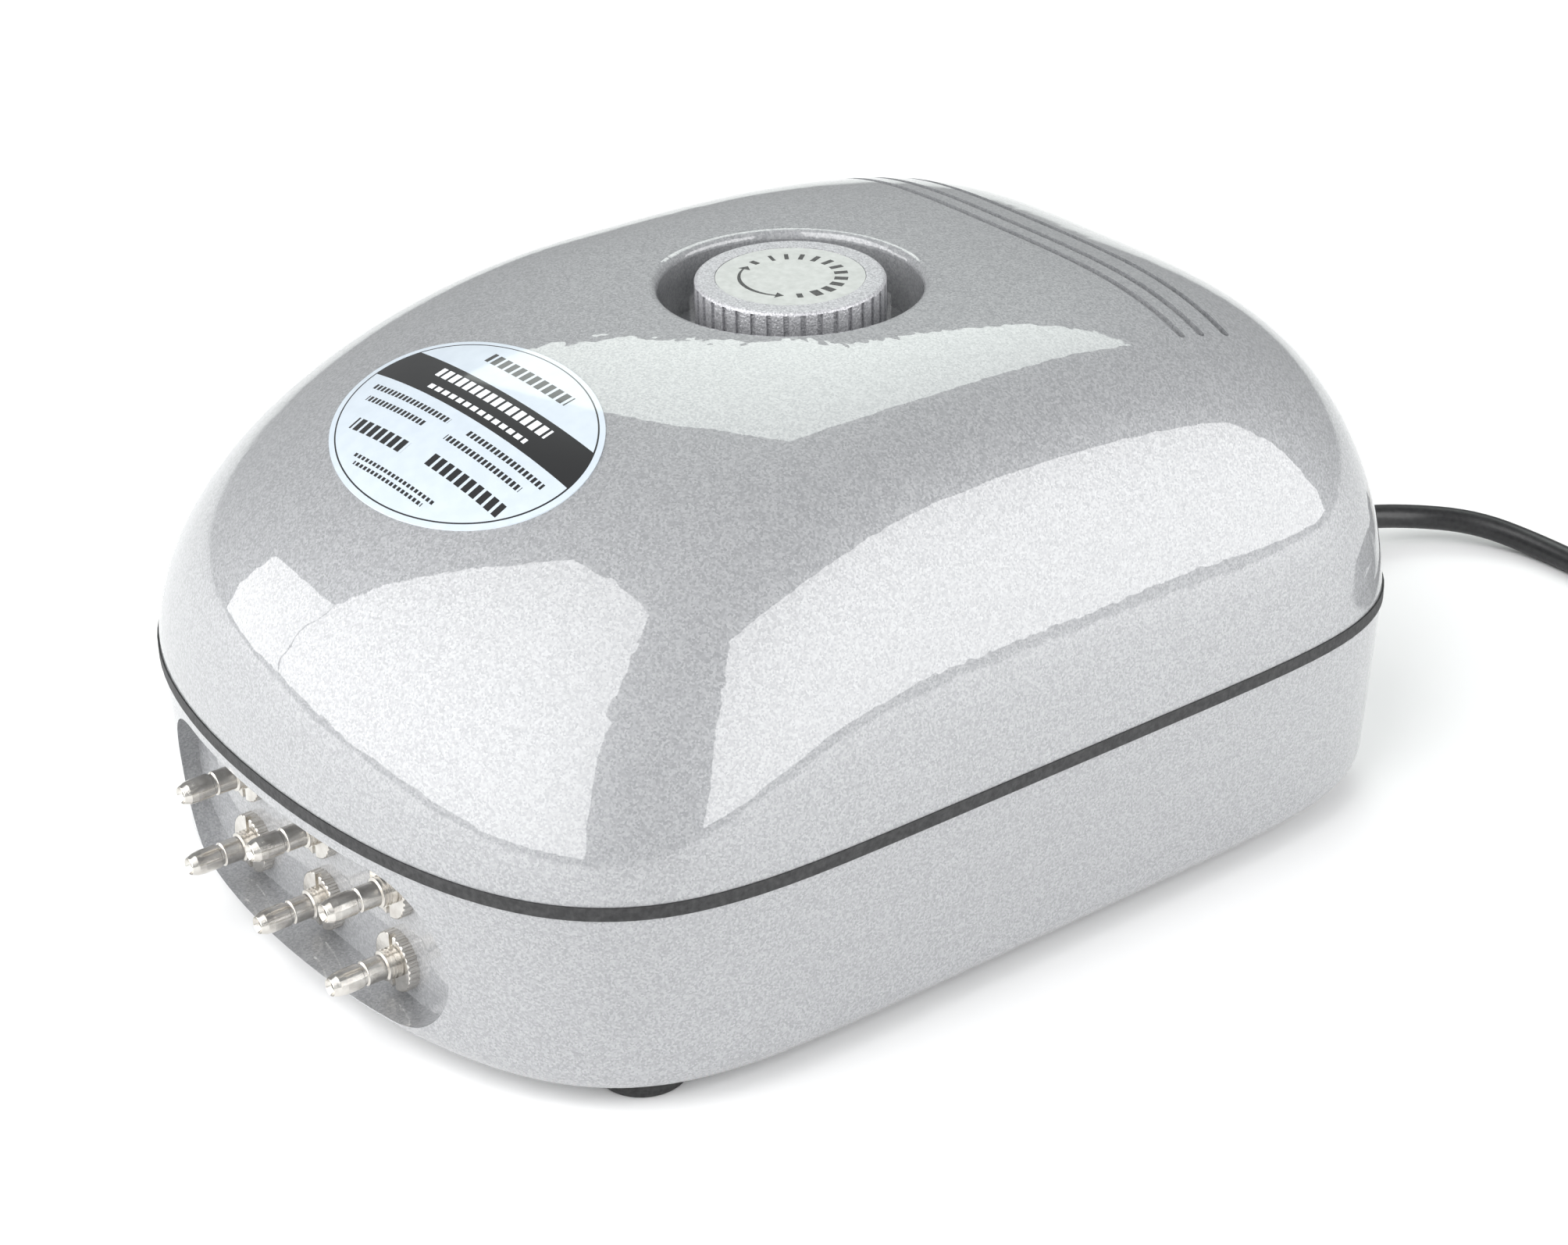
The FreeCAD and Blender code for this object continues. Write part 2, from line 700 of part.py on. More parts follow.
def make_diaphragm():
    """Rubber cone from the arm to the head, with a clamped flange."""
    x0 = diaphragm_x
    x1 = head_x
    w = diaphragm_wall
    r0 = diaphragm_base_radius
    r1 = diaphragm_flange_radius - 2.0
    rf = diaphragm_flange_radius
    profile = [
        (x0, chassis_screw_radius), (x0, r0), (x1 - w, r1), (x1 - w, rf), (x1, rf),
        (x1, r1 - w), (x0 + w, r0 - w), (x0 + w, chassis_screw_radius),
    ]
    points = [(x, head_y, arm_z + r) for x, r in profile]
    return revolved(points, (0, head_y, arm_z), (1, 0, 0))


def make_diaphragm_clamp():
    """Washer-head screw that holds the diaphragm's centre to the arm."""
    x = diaphragm_x + diaphragm_wall
    head = rod(clamp_radius, clamp_height, (x, head_y, arm_z), (1, 0, 0))
    shank = rod(chassis_screw_radius, x - arm_x - 0.2, (arm_x + 0.2, head_y, arm_z), (1, 0, 0))
    return head.fuse(shank)


def valve_places():
    return [head_y - valve_pitch / 2, head_y + valve_pitch / 2]


def head_screw_places():
    y = head_half_length - head_screw_inset
    z = head_height / 2 - head_screw_inset
    return [(head_y + i * y, arm_z + j * z) for i in (-1, 1) for j in (-1, 1)]


def make_head():
    """Valve block with two flap pockets, their ports and the outlet barb."""
    z0 = arm_z - head_height / 2
    front = head_y - head_half_length
    head = box(head_x, cover_x, front, head_y + head_half_length, z0, z0 + head_height)
    barb_x = head_x + head_depth / 2
    head = head.fuse(rod(barb_radius, barb_length, (barb_x, front, arm_z), (0, -1, 0)))
    for y in valve_places():
        head = head.cut(rod(valve_pocket_radius, valve_pocket_depth, (cover_x, y, arm_z), (-1, 0, 0)))
        head = head.cut(rod(1.5, head_depth, (head_x, y, arm_z), (1, 0, 0)))
    head = head.cut(rod(barb_radius - 1.0, barb_length + 8.0, (barb_x, front + 8.0, arm_z), (0, -1, 0)))
    for y, z in head_screw_places():
        head = head.cut(rod(head_screw_radius, head_depth - 2.0, (cover_x, y, z), (-1, 0, 0)))
    return head


def make_head_cover():
    z0 = arm_z - head_height / 2
    end = cover_x + head_cover_depth
    cover = box(cover_x, end, head_y - head_half_length, head_y + head_half_length, z0, z0 + head_height)
    rim = [e for e in cover.Edges if abs(e.BoundBox.XMin - end) < 0.01]
    cover = cover.makeFillet(1.0, rim)
    cover = cover.cut(rod(2.0, 20.0, (cover_x - 1.0, valve_places()[1], arm_z), (1, 0, 0)))
    for y, z in head_screw_places():
        cover = cover.cut(rod(head_screw_radius, 20.0, (cover_x - 1.0, y, z), (1, 0, 0)))
    return cover


def make_head_screws():
    """Pan-head screws through each cover into its head, on the right-hand side."""
    screws = []
    end = cover_x + head_cover_depth
    for y, z in head_screw_places():
        start = cover_x - head_depth + 2.5
        shank = rod(head_screw_radius, end - start, (start, y, z), (1, 0, 0))
        screws.append(shank.fuse(rod(2.0, 1.4, (end, y, z), (1, 0, 0))))
    return screws


def make_valve_flaps():
    flaps = []
    for y in valve_places():
        x = cover_x - valve_pocket_depth + 0.3
        flaps.append(rod(valve_flap_radius, valve_flap_height, (x, y, arm_z), (1, 0, 0)))
    return flaps


# ---- tubes ----

def route_path(points):
    """Straight runs joined by tangent arcs, and the radii of those arcs."""
    p = [V(*q) for q in points]
    edges = []
    radii = []
    start = p[0]
    for i in range(1, len(p) - 1):
        back = p[i - 1] - p[i]
        ahead = p[i + 1] - p[i]
        turn = math.pi - back.getAngle(ahead)
        reach = 0.45 * min(back.Length, ahead.Length)
        radius = reach / math.tan(turn / 2)
        back.normalize()
        ahead.normalize()
        a = p[i] + back * reach
        b = p[i] + ahead * reach
        inward = back + ahead
        inward.normalize()
        centre_gap = math.hypot(radius, reach)
        middle = p[i] + inward * (centre_gap - radius)
        edges.append(Part.LineSegment(start, a).toShape())
        edges.append(Part.Arc(a, middle, b).toShape())
        radii.append(round(radius, 1))
        start = b
    edges.append(Part.LineSegment(start, p[-1]).toShape())
    return Part.Wire(edges), radii


def tube(points, radius, bore=0.0):
    """Round tube along a route; prints its length, radii and volume against the sum."""
    path, radii = route_path(points)
    first = V(*points[1]) - V(*points[0])
    shapes = []
    for r in (radius, bore):
        if r > 0:
            ring = Part.Wire(Part.Circle(V(*points[0]), first, r).toShape())
            shapes.append(path.makePipeShell([ring], True, False))
    solid = shapes[0] if len(shapes) == 1 else shapes[0].cut(shapes[1])
    expected = math.pi * (radius ** 2 - bore ** 2) * path.Length
    print("  tube: length", round(path.Length, 1), "radii", radii,
          "volume", round(solid.Volume, 1), "section x length", round(expected, 1))
    return solid


def make_air_hose():
    """Silicone hose over the right-hand barbs of the head and the manifold lid."""
    head_front = head_y - head_half_length
    lid_back = manifold_rear_y + manifold_lid_height
    barb_x = head_x + head_depth / 2
    points = [
        (barb_x, head_front, arm_z),
        (barb_x, head_front - 0.3 * (head_front - lid_back), arm_z),
        (manifold_barb_x, lid_back + 0.3 * (head_front - lid_back), arm_z),
        (manifold_barb_x, lid_back, arm_z),
    ]
    return tube(points, hose_radius, barb_radius)


# ---- knob and speed control ----

def make_knob():
    """Hollow cap with upright ribs round its side and a hub on the shaft."""
    height = knob_face_z - knob_base_z
    knob = rod(knob_radius, height, (0, knob_y, knob_base_z), (0, 0, 1))
    top = [e for e in knob.Edges if abs(e.BoundBox.ZMin - knob_face_z) < 0.01]
    knob = knob.makeFillet(0.8, top)
    pitch = 2 * math.pi / knob_ribs
    depth = knob_radius - knob_root_radius
    half = pitch * knob_radius / 6
    notch = box(knob_root_radius, knob_radius + 2.0, -half, half, knob_base_z - 1.0, knob_face_z - depth)
    notches = []
    for i in range(knob_ribs):
        n = notch.copy()
        n.rotate(V(0, 0, 0), V(0, 0, 1), 360.0 * i / knob_ribs)
        n.translate(V(0, knob_y, 0))
        notches.append(n)
    knob = knob.cut(Part.makeCompound(notches))
    ceiling = knob_face_z - knob_top
    hollow = rod(knob_root_radius - knob_skirt, ceiling - knob_base_z, (0, knob_y, knob_base_z), (0, 0, 1))
    knob = knob.cut(hollow)
    hub_z = recess_floor_z + bushing_rise + 0.8
    hub = rod(knob_hub_radius, ceiling - hub_z + 0.5, (0, knob_y, hub_z), (0, 0, 1))
    knob = knob.fuse(hub)
    knob = knob.cut(rod(shaft_radius, shaft_top() - hub_z, (0, knob_y, hub_z), (0, 0, 1)))
    return knob.cut(rod(label_radius, label_depth, (0, knob_y, knob_face_z - label_depth), (0, 0, 1)))


def shaft_top():
    """The shaft ends just inside the knob's face, under the inlay."""
    return knob_face_z - knob_top + 0.5


def make_knob_label():
    start = knob_face_z - label_depth
    return rod(label_radius - 0.1, label_depth - label_rise, (0, knob_y, start), (0, 0, 1))


def make_pot_shaft():
    low = pot_z - pot_height / 2
    return rod(shaft_radius, shaft_top() - low, (0, knob_y, low), (0, 0, 1))


def make_potentiometer():
    """Round can under the recess floor, with a bushing up through it."""
    body = rod(pot_radius, pot_height, (0, knob_y, board_z), (0, 0, 1))
    bushing = rod(bushing_radius, recess_wall + bushing_rise, (0, knob_y, pot_z), (0, 0, 1))
    bore = pot_height / 2 + recess_wall + bushing_rise
    start = pot_z - pot_height / 2 - 0.3
    hole = rod(shaft_radius + shaft_clearance, bore + 1.0, (0, knob_y, start), (0, 0, 1))
    return body.fuse(bushing).cut(hole)


def make_pot_nut():
    r = pot_nut_across / 2 / math.cos(math.pi / 6)
    corners = [V(r * math.cos(k * math.pi / 3), knob_y + r * math.sin(k * math.pi / 3), recess_floor_z)
               for k in range(6)]
    nut = Part.Face(Part.makePolygon(corners + [corners[0]])).extrude(V(0, 0, pot_nut_height))
    return nut.cut(rod(bushing_radius, pot_nut_height, (0, knob_y, recess_floor_z), (0, 0, 1)))


def make_board():
    return rounded_box(-board_half_x, board_half_x, knob_y - board_half_y, knob_y + board_half_y,
                       board_z - board_thickness, board_z, 2.0)


def make_board_components():
    """Terminal block, film capacitor, choke, fuse and triac under the board."""
    under = board_z - board_thickness
    y = knob_y
    terminal = box(-11.0, 11.0, y + terminal_y - terminal_half_y, y + terminal_y + terminal_half_y,
                   under - terminal_height, under)
    capacitor = box(-28.0, -12.0, y - 14.0, y - 6.0, under - 12.0, under)
    choke = rod(6.0, 8.0, (20.0, y - 8.0, under), (0, 0, -1))
    choke = choke.cut(rod(2.5, 8.0, (20.0, y - 8.0, under), (0, 0, -1)))
    fuse = rod(2.6, 20.0, (-10.0, y + 3.0, under - 3.2), (1, 0, 0))
    clips = [box(x, x + 1.5, y + 0.0, y + 6.0, under - 3.2, under) for x in (-8.0, 6.5)]
    fuse = fuse.multiFuse(clips)
    triac = box(-27.0, -17.0, y + 8.0, y + 12.5, under - 15.0, under)
    return Part.makeCompound([terminal, capacitor, choke, fuse, triac])


def make_mains_leads():
    """Two insulated cores from the strain relief up to the terminal block."""
    start_y = rear_y - wall - relief_inside - 0.1
    end_z = board_z - board_thickness - terminal_height
    end_y = knob_y + terminal_y
    leads = []
    for side in (-1, 1):
        x = gland_x + side * 1.8
        points = [
            (x, start_y, gland_z), (x, start_y - 14.0, gland_z + 1.0),
            (side * 5.0, start_y - 26.0, gland_z + 20.0),
            (side * 5.0, end_y + 14.0, end_z - 14.0), (side * 5.0, end_y, end_z - 9.0),
            (side * 5.0, end_y, end_z),
        ]
        leads.append(tube(points, lead_radius))
    return Part.makeCompound(leads)


def make_coil_leads():
    """Two thin wires from the terminal block down to the winding."""
    top = board_z - board_thickness - terminal_height
    bottom = arm_z + core_side / 2 + bobbin_wall + winding_depth
    leads = []
    for side in (-1, 1):
        x = side * 8.5
        points = [
            (x, knob_y + 15.0, top), (x, knob_y + 15.0, top - 8.0),
            (x * 0.8, 0.0, bottom + 9.0), (x * 0.8, 0.0, bottom),
        ]
        leads.append(tube(points, lead_radius * 0.7))
    return Part.makeCompound(leads)


# ---- cord ----

def make_strain_relief():
    """Tapered ribbed rubber boot held in the rear wall by two collars."""
    hole = relief_root_radius
    start = rear_y - wall - relief_inside
    out = boot_tip_y
    inner_y = rear_y - wall - relief_draft_room
    steps = 5
    profile = [(0.0, start), (hole - 1.5, start), (hole - 1.0, inner_y - 1.0), (hole + 1.4, inner_y - 0.6),
               (hole + 1.4, inner_y), (hole, inner_y), (hole, rear_y - 0.4),
               (hole + 1.6, rear_y + 0.0), (hole + 1.6, rear_y + relief_collar)]
    body = out - rear_y - relief_collar
    for i in range(steps):
        a = rear_y + relief_collar + body * i / steps
        b = rear_y + relief_collar + body * (i + 0.62) / steps
        c = rear_y + relief_collar + body * (i + 1) / steps
        r = hole + (relief_tip_radius - hole) * i / (steps - 1)
        profile.extend([(r, a), (r, b), (r - 0.7, b), (r - 0.7, c)])
    profile.append((0.0, out))
    points = [(gland_x + r, y, gland_z) for r, y in profile]
    return revolved(points, (gland_x, 0, gland_z), (0, 1, 0))


def make_cord_coil():
    """Outer shape of the put-away coil: a wide lower layer and a narrower upper one."""
    d = cord_diameter
    profile = [
        (coil_inner + 1.0, 0.0), (coil_outer - 1.0, 0.0), (coil_outer, 1.0), (coil_outer, d - 0.5),
        (coil_outer - 3.0, d), (coil_outer - 3.0, 2 * d - 1.0), (coil_outer - 4.0, 2 * d),
        (coil_inner + 4.0, 2 * d), (coil_inner + 3.0, 2 * d - 1.0), (coil_inner + 3.0, d),
        (coil_inner, d - 0.5), (coil_inner, 1.0),
    ]
    points = [(coil_x + r, coil_y, z) for r, z in profile]
    return revolved(points, (coil_x, coil_y, 0), (0, 0, 1))


def plug_frame():
    """Where the plug's neck starts, and its direction in plan."""
    a = V(*plug_route[-2])
    b = V(*plug_route[-1])
    d = b - a
    return b, math.degrees(math.atan2(d.y, d.x))


def placed_plug(shape):
    """Turn a shape drawn along +X at the origin to the end of the plug's lead."""
    start, angle = plug_frame()
    shape.rotate(V(0, 0, 0), V(0, 0, 1), angle)
    shape.translate(V(start.x, start.y, plug_half_height))
    return shape


def make_plug_body():
    """Flat two-pin plug body with a round, tapered neck."""
    neck = Part.makeCone(plug_neck_radius - 0.6, plug_neck_radius + 0.8, plug_neck_length,
                         V(0, 0, 0), V(1, 0, 0))
    body = box(plug_neck_length - 2.0, plug_length, -plug_half_width, plug_half_width,
               -plug_half_height, plug_half_height)
    body = body.makeFillet(3.0, body.Edges)
    return placed_plug(neck.fuse(body))


def make_plug_pins():
    pins = []
    for side in (-1, 1):
        pin = rod(pin_radius, pin_length, (plug_length, side * pin_pitch / 2, 0), (1, 0, 0))
        tip = [e for e in pin.Edges if abs(e.BoundBox.XMin - plug_length - pin_length) < 0.01]
        pins.append(pin.makeFillet(1.2, tip))
    return placed_plug(Part.makeCompound(pins))


# ---- write every node ----

write("lower_shell", make_lower_shell())
write("upper_shell", make_upper_shell())
write("shell_gasket", make_gasket())
write("name_label", make_name_label())
feet_names = ("foot_front_left", "foot_front_right", "foot_rear_left", "foot_rear_right")
for foot_name, (foot_at_x, foot_at_y) in zip(feet_names, four_feet()):
    write(foot_name, make_foot(foot_at_x, foot_at_y))
write("case_screws", make_case_screws())
for number, (nipple_x, nipple_z) in enumerate(outlets(), start=1):
    write("outlet_nipple_" + str(number), make_nipple(nipple_x, nipple_z))
write("outlet_lock_nuts", make_lock_nuts())
write("outlet_seal_rings", make_seal_rings())
write("air_manifold", make_manifold())
write("manifold_lid", make_manifold_lid())
write("filter_felt", make_filter_felt())
write("filter_cover", make_filter_cover())
write("pump_chassis", make_chassis())
write("chassis_dampers", make_dampers())
write("chassis_screws", make_chassis_screws())
write("core_laminations", make_core())
write("coil_bobbin", make_bobbin())
write("coil_winding", make_winding())
write("arm_pivot_pins", make_pivot_pins())
handed = (
    ("swing_arm", make_arm),
    ("arm_magnet", make_magnet),
    ("diaphragm", make_diaphragm),
    ("diaphragm_clamp", make_diaphragm_clamp),
    ("pump_head", make_head),
    ("head_cover", make_head_cover),
    ("air_hose", make_air_hose),
)
for stem, maker in handed:
    right = maker()
    write(stem + "_right", right)
    write(stem + "_left", mirror_x(right))
right_screws = make_head_screws()
write("head_screws", Part.makeCompound(right_screws + [mirror_x(s) for s in right_screws]))
right_flaps = make_valve_flaps()
write("valve_flaps", Part.makeCompound(right_flaps + [mirror_x(s) for s in right_flaps]))
write("control_knob", make_knob())
write("knob_label", make_knob_label())
write("pot_shaft", make_pot_shaft())
write("potentiometer", make_potentiometer())
write("pot_nut", make_pot_nut())
write("control_board", make_board())
write("board_components", make_board_components())
write("mains_leads", make_mains_leads())
write("coil_leads", make_coil_leads())
write("strain_relief", make_strain_relief())
write("power_cord", tube(cord_route, cord_diameter / 2), boot_tip_y)
write("cord_coil", make_cord_coil(), boot_tip_y)
write("plug_lead", tube(plug_route, cord_diameter / 2), boot_tip_y)
write("plug_body", make_plug_body(), boot_tip_y)
write("plug_pins", make_plug_pins(), boot_tip_y)
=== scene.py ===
import math

import bpy
from mathutils import Matrix, Vector


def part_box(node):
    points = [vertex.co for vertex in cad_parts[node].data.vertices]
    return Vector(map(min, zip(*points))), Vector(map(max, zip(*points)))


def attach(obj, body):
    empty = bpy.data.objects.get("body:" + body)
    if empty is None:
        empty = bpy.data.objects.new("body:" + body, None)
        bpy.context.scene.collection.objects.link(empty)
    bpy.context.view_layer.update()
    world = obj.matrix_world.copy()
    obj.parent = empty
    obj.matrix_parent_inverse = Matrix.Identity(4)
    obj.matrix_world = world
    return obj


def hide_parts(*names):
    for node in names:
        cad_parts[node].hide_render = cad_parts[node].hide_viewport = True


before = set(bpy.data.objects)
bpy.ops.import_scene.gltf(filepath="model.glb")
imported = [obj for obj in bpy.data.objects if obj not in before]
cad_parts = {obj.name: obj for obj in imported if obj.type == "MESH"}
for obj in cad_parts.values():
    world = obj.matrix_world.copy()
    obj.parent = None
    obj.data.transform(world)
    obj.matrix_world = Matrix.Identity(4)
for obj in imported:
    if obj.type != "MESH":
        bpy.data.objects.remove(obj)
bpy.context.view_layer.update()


# ---- Camera ----
# A long lens looking down on the front right corner, from a little over half a metre away,
# rolled about one degree.
camera_azimuth = math.radians(53.04)
camera_elevation = math.radians(28.15)
camera_roll = math.radians(-1.02)
camera_distance = 0.6785
camera_target = Vector((0.0031, 0.0060, 0.0390))
backward = Vector((math.sin(camera_azimuth) * math.cos(camera_elevation),
                   -math.cos(camera_azimuth) * math.cos(camera_elevation),
                   math.sin(camera_elevation)))
level_right = Vector((math.cos(camera_azimuth), math.sin(camera_azimuth), 0.0))
level_up = backward.cross(level_right)
right = level_right * math.cos(camera_roll) + level_up * math.sin(camera_roll)
up = level_up * math.cos(camera_roll) - level_right * math.sin(camera_roll)
camera_data = bpy.data.cameras.new("camera")
camera_data.sensor_width = 36.0
camera_data.lens = 78.24
camera_data.clip_start = 0.01
camera = bpy.data.objects.new("camera", camera_data)
bpy.context.scene.collection.objects.link(camera)
axes = Matrix((right, up, backward)).transposed()
camera.matrix_world = Matrix.Translation(camera_target + backward * camera_distance) @ axes.to_4x4()
bpy.context.scene.camera = camera


# ---- Floor and studio light ----
# A white table, a tall soft box at the front with a low one beside it, one along the right side
# and a dim panel overhead at the back. The gap between front and right falls on the corner.
floor_size = 40.0
bpy.ops.object.select_all(action="DESELECT")
bpy.ops.mesh.primitive_plane_add(size=floor_size, location=(0, 0, 0))
floor = bpy.context.object
floor.name = "floor"
floor_paint = bpy.data.materials.new("white_table")
floor_paint.use_nodes = True
floor_shader = floor_paint.node_tree.nodes["Principled BSDF"]
floor_shader.inputs["Base Color"].default_value = (0.97, 0.97, 0.97, 1)
floor_shader.inputs["Roughness"].default_value = 0.6
floor_shader.inputs["Specular IOR Level"].default_value = 0.2
floor.data.materials.append(floor_paint)


def soft_box(name, place, aim, width, height, radiance, colour=(1.0, 1.0, 1.0)):
    """A rectangular area light that faces the point aim, seen only in reflections."""
    light = bpy.data.lights.new(name, "AREA")
    light.shape = "RECTANGLE"
    light.size = width
    light.size_y = height
    light.energy = 4 * width * height * radiance
    light.color = colour
    lamp = bpy.data.objects.new(name, light)
    bpy.context.scene.collection.objects.link(lamp)
    lamp.location = place
    lamp.rotation_euler = (Vector(aim) - Vector(place)).to_track_quat("-Z", "Y").to_euler()
    lamp.visible_camera = False
    return lamp


soft_box("front_light", (-0.17, -1.15, 2.2), (-0.17, 0.0, 2.2), 2.2, 4.3, 2.35)
soft_box("front_low_light", (-1.80, -1.15, 0.40), (-1.80, 0.0, 0.40), 1.04, 0.72, 2.3)
soft_box("right_light", (1.15, 1.12, 0.70), (0.0, 1.12, 0.70), 2.4, 1.3, 2.5)
soft_box("ceiling_light", (-1.46, 1.2, 1.6), (-1.46, 1.2, 0.0), 1.87, 1.28, 1.9, (0.93, 1.0, 0.95))
world = bpy.data.worlds.new("studio")
bpy.context.scene.world = world
world.use_nodes = True
world.node_tree.nodes["Background"].inputs["Color"].default_value = (0.97, 0.99, 1.0, 1)
world.node_tree.nodes["Background"].inputs["Strength"].default_value = 0.36
bpy.context.scene.view_settings.view_transform = "Standard"


# ---- Painted casings ----
# The dome and the tub are moulded ABS sprayed with silver metallic paint under a clear coat.
# Aluminium flakes of about a third of a millimetre lie at slightly different tilts in the paint.
flakes_per_metre = 2700
flake_tilt = 0.1
flake_gloss = (0.45, 0.6)
peel_depth = 0.00002
peel_waves_per_metre = 260.0
paint_dark = (0.245, 0.250, 0.260, 1)
paint_light = (0.370, 0.375, 0.385, 1)


def start_material(name, roughness, metallic=0.0):
    """A node material with its shader set, and the piece's own coordinates."""
    material = bpy.data.materials.new(name)
    material.use_nodes = True
    tree = material.node_tree
    shader = tree.nodes["Principled BSDF"]
    shader.inputs["Roughness"].default_value = roughness
    shader.inputs["Metallic"].default_value = metallic
    place = tree.nodes.new("ShaderNodeTexCoord").outputs["Object"]
    return material, tree, shader, place


def blend_colours(tree, amount, dark, light, low=0.0, high=1.0):
    """A ramp between two colours, driven by amount."""
    ramp = tree.nodes.new("ShaderNodeValToRGB")
    ramp.color_ramp.elements[0].position = low
    ramp.color_ramp.elements[0].color = dark
    ramp.color_ramp.elements[1].position = high
    ramp.color_ramp.elements[1].color = light
    tree.links.new(amount, ramp.inputs["Fac"])
    return ramp.outputs["Color"]


def noise(tree, place, scale, detail=2.0):
    texture = tree.nodes.new("ShaderNodeTexNoise")
    texture.inputs["Scale"].default_value = scale
    texture.inputs["Detail"].default_value = detail
    tree.links.new(place, texture.inputs["Vector"])
    return texture.outputs["Fac"]


def relief(tree, shader, height, depth):
    """Bump of the given depth in metres."""
    bump = tree.nodes.new("ShaderNodeBump")
    bump.inputs["Distance"].default_value = depth
    tree.links.new(height, bump.inputs["Height"])
    tree.links.new(bump.outputs["Normal"], shader.inputs["Normal"])


def vary_roughness(tree, shader, amount, low, high):
    spread = tree.nodes.new("ShaderNodeMapRange")
    spread.inputs["To Min"].default_value = low
    spread.inputs["To Max"].default_value = high
    tree.links.new(amount, spread.inputs["Value"])
    tree.links.new(spread.outputs["Result"], shader.inputs["Roughness"])


def paint(material, *names):
    """Give a material to CAD nodes."""
    for name in names:
        node = bpy.data.objects[name]
        node.data.materials.clear()
        node.data.materials.append(material)


silver, tree, shader, place = start_material("silver_metallic_paint", 0.5, 0.22)
flakes = tree.nodes.new("ShaderNodeTexVoronoi")
flakes.inputs["Scale"].default_value = flakes_per_metre
tree.links.new(place, flakes.inputs["Vector"])
split = tree.nodes.new("ShaderNodeSeparateColor")
tree.links.new(flakes.outputs["Color"], split.inputs["Color"])
flake_colour = blend_colours(tree, split.outputs["Red"], paint_dark, paint_light)
tree.links.new(flake_colour, shader.inputs["Base Color"])
vary_roughness(tree, shader, split.outputs["Green"], *flake_gloss)
centred = tree.nodes.new("ShaderNodeVectorMath")
centred.operation = "SUBTRACT"
centred.inputs[1].default_value = (0.5, 0.5, 0.5)
tree.links.new(flakes.outputs["Color"], centred.inputs[0])
tilted = tree.nodes.new("ShaderNodeVectorMath")
tilted.operation = "MULTIPLY_ADD"
tilted.inputs[1].default_value = (flake_tilt, flake_tilt, flake_tilt)
tree.links.new(centred.outputs["Vector"], tilted.inputs[0])
surface = tree.nodes.new("ShaderNodeNewGeometry")
tree.links.new(surface.outputs["Normal"], tilted.inputs[2])
unit = tree.nodes.new("ShaderNodeVectorMath")
unit.operation = "NORMALIZE"
tree.links.new(tilted.outputs["Vector"], unit.inputs[0])
tree.links.new(unit.outputs["Vector"], shader.inputs["Normal"])
peel = tree.nodes.new("ShaderNodeBump")
peel.inputs["Distance"].default_value = peel_depth
tree.links.new(noise(tree, place, peel_waves_per_metre, 1.0), peel.inputs["Height"])
tree.links.new(peel.outputs["Normal"], shader.inputs["Coat Normal"])
shader.inputs["Coat Weight"].default_value = 1.0
shader.inputs["Coat IOR"].default_value = 1.75
shader.inputs["Coat Roughness"].default_value = 0.015
paint(silver, "lower_shell", "upper_shell")


# ---- Seam gasket ----
# A moulded black rubber band squeezed between the casings; its cut edge stands just proud.
rubber, tree, shader, place = start_material("gasket_rubber", 0.6)
tree.links.new(blend_colours(tree, noise(tree, place, 900.0, 4.0), (0.012, 0.012, 0.013, 1),
                             (0.035, 0.035, 0.036, 1), 0.35, 0.7), shader.inputs["Base Color"])
relief(tree, shader, noise(tree, place, 1600.0, 3.0), 0.00012)
paint(rubber, "shell_gasket")


# ---- Name sticker ----
# A clear-varnished pale blue film, oval, printed in black: a thin line inside the edge, a broad
# band across the upper half, and rows of plain dashes where a maker would print its data.
film_centre_y = -0.0631
film_half_width = 0.0334
film_half_length = 0.0210
printed_edge = 0.95
line_inner = 0.947
line_outer = 0.959
band_low = -0.0622
band_high = -0.0542
bold_dashes_per_metre = 420.0
bold_gap = 0.3
fine_dashes_per_metre = 780.0
fine_gap = 0.35
film_blue = (0.55, 0.61, 0.67, 1)
film_ink = (0.008, 0.008, 0.009, 1)
film_white = (0.80, 0.83, 0.86, 1)
film, tree, shader, place = start_material("printed_film", 0.3)


def sum_up(tree, operation, first, second):
    """One Math node; each input is a number or another node's output."""
    node = tree.nodes.new("ShaderNodeMath")
    node.operation = operation
    for socket, value in zip(node.inputs, (first, second)):
        if isinstance(value, (int, float)):
            socket.default_value = value
        else:
            tree.links.new(value, socket)
    return node.outputs["Value"]


def within(tree, value, low, high):
    """1 where value lies between low and high, otherwise 0."""
    above = sum_up(tree, "GREATER_THAN", value, low)
    below = sum_up(tree, "LESS_THAN", value, high)
    return sum_up(tree, "MULTIPLY", above, below)


def patch(tree, x, y, x0, x1, y0, y1):
    return sum_up(tree, "MULTIPLY", within(tree, x, x0, x1), within(tree, y, y0, y1))


axes_split = tree.nodes.new("ShaderNodeSeparateXYZ")
tree.links.new(place, axes_split.inputs["Vector"])
film_x = axes_split.outputs["X"]
film_y = axes_split.outputs["Y"]
across = sum_up(tree, "DIVIDE", film_x, film_half_width)
along = sum_up(tree, "DIVIDE", sum_up(tree, "SUBTRACT", film_y, film_centre_y), film_half_length)
rim = sum_up(tree, "SQRT", sum_up(tree, "ADD", sum_up(tree, "MULTIPLY", across, across),
                                  sum_up(tree, "MULTIPLY", along, along)), 0.0)
inside = sum_up(tree, "LESS_THAN", rim, printed_edge)
ink = within(tree, rim, line_inner, line_outer)
band = sum_up(tree, "MULTIPLY", within(tree, film_y, band_low, band_high), inside)
ink = sum_up(tree, "MAXIMUM", ink, band)


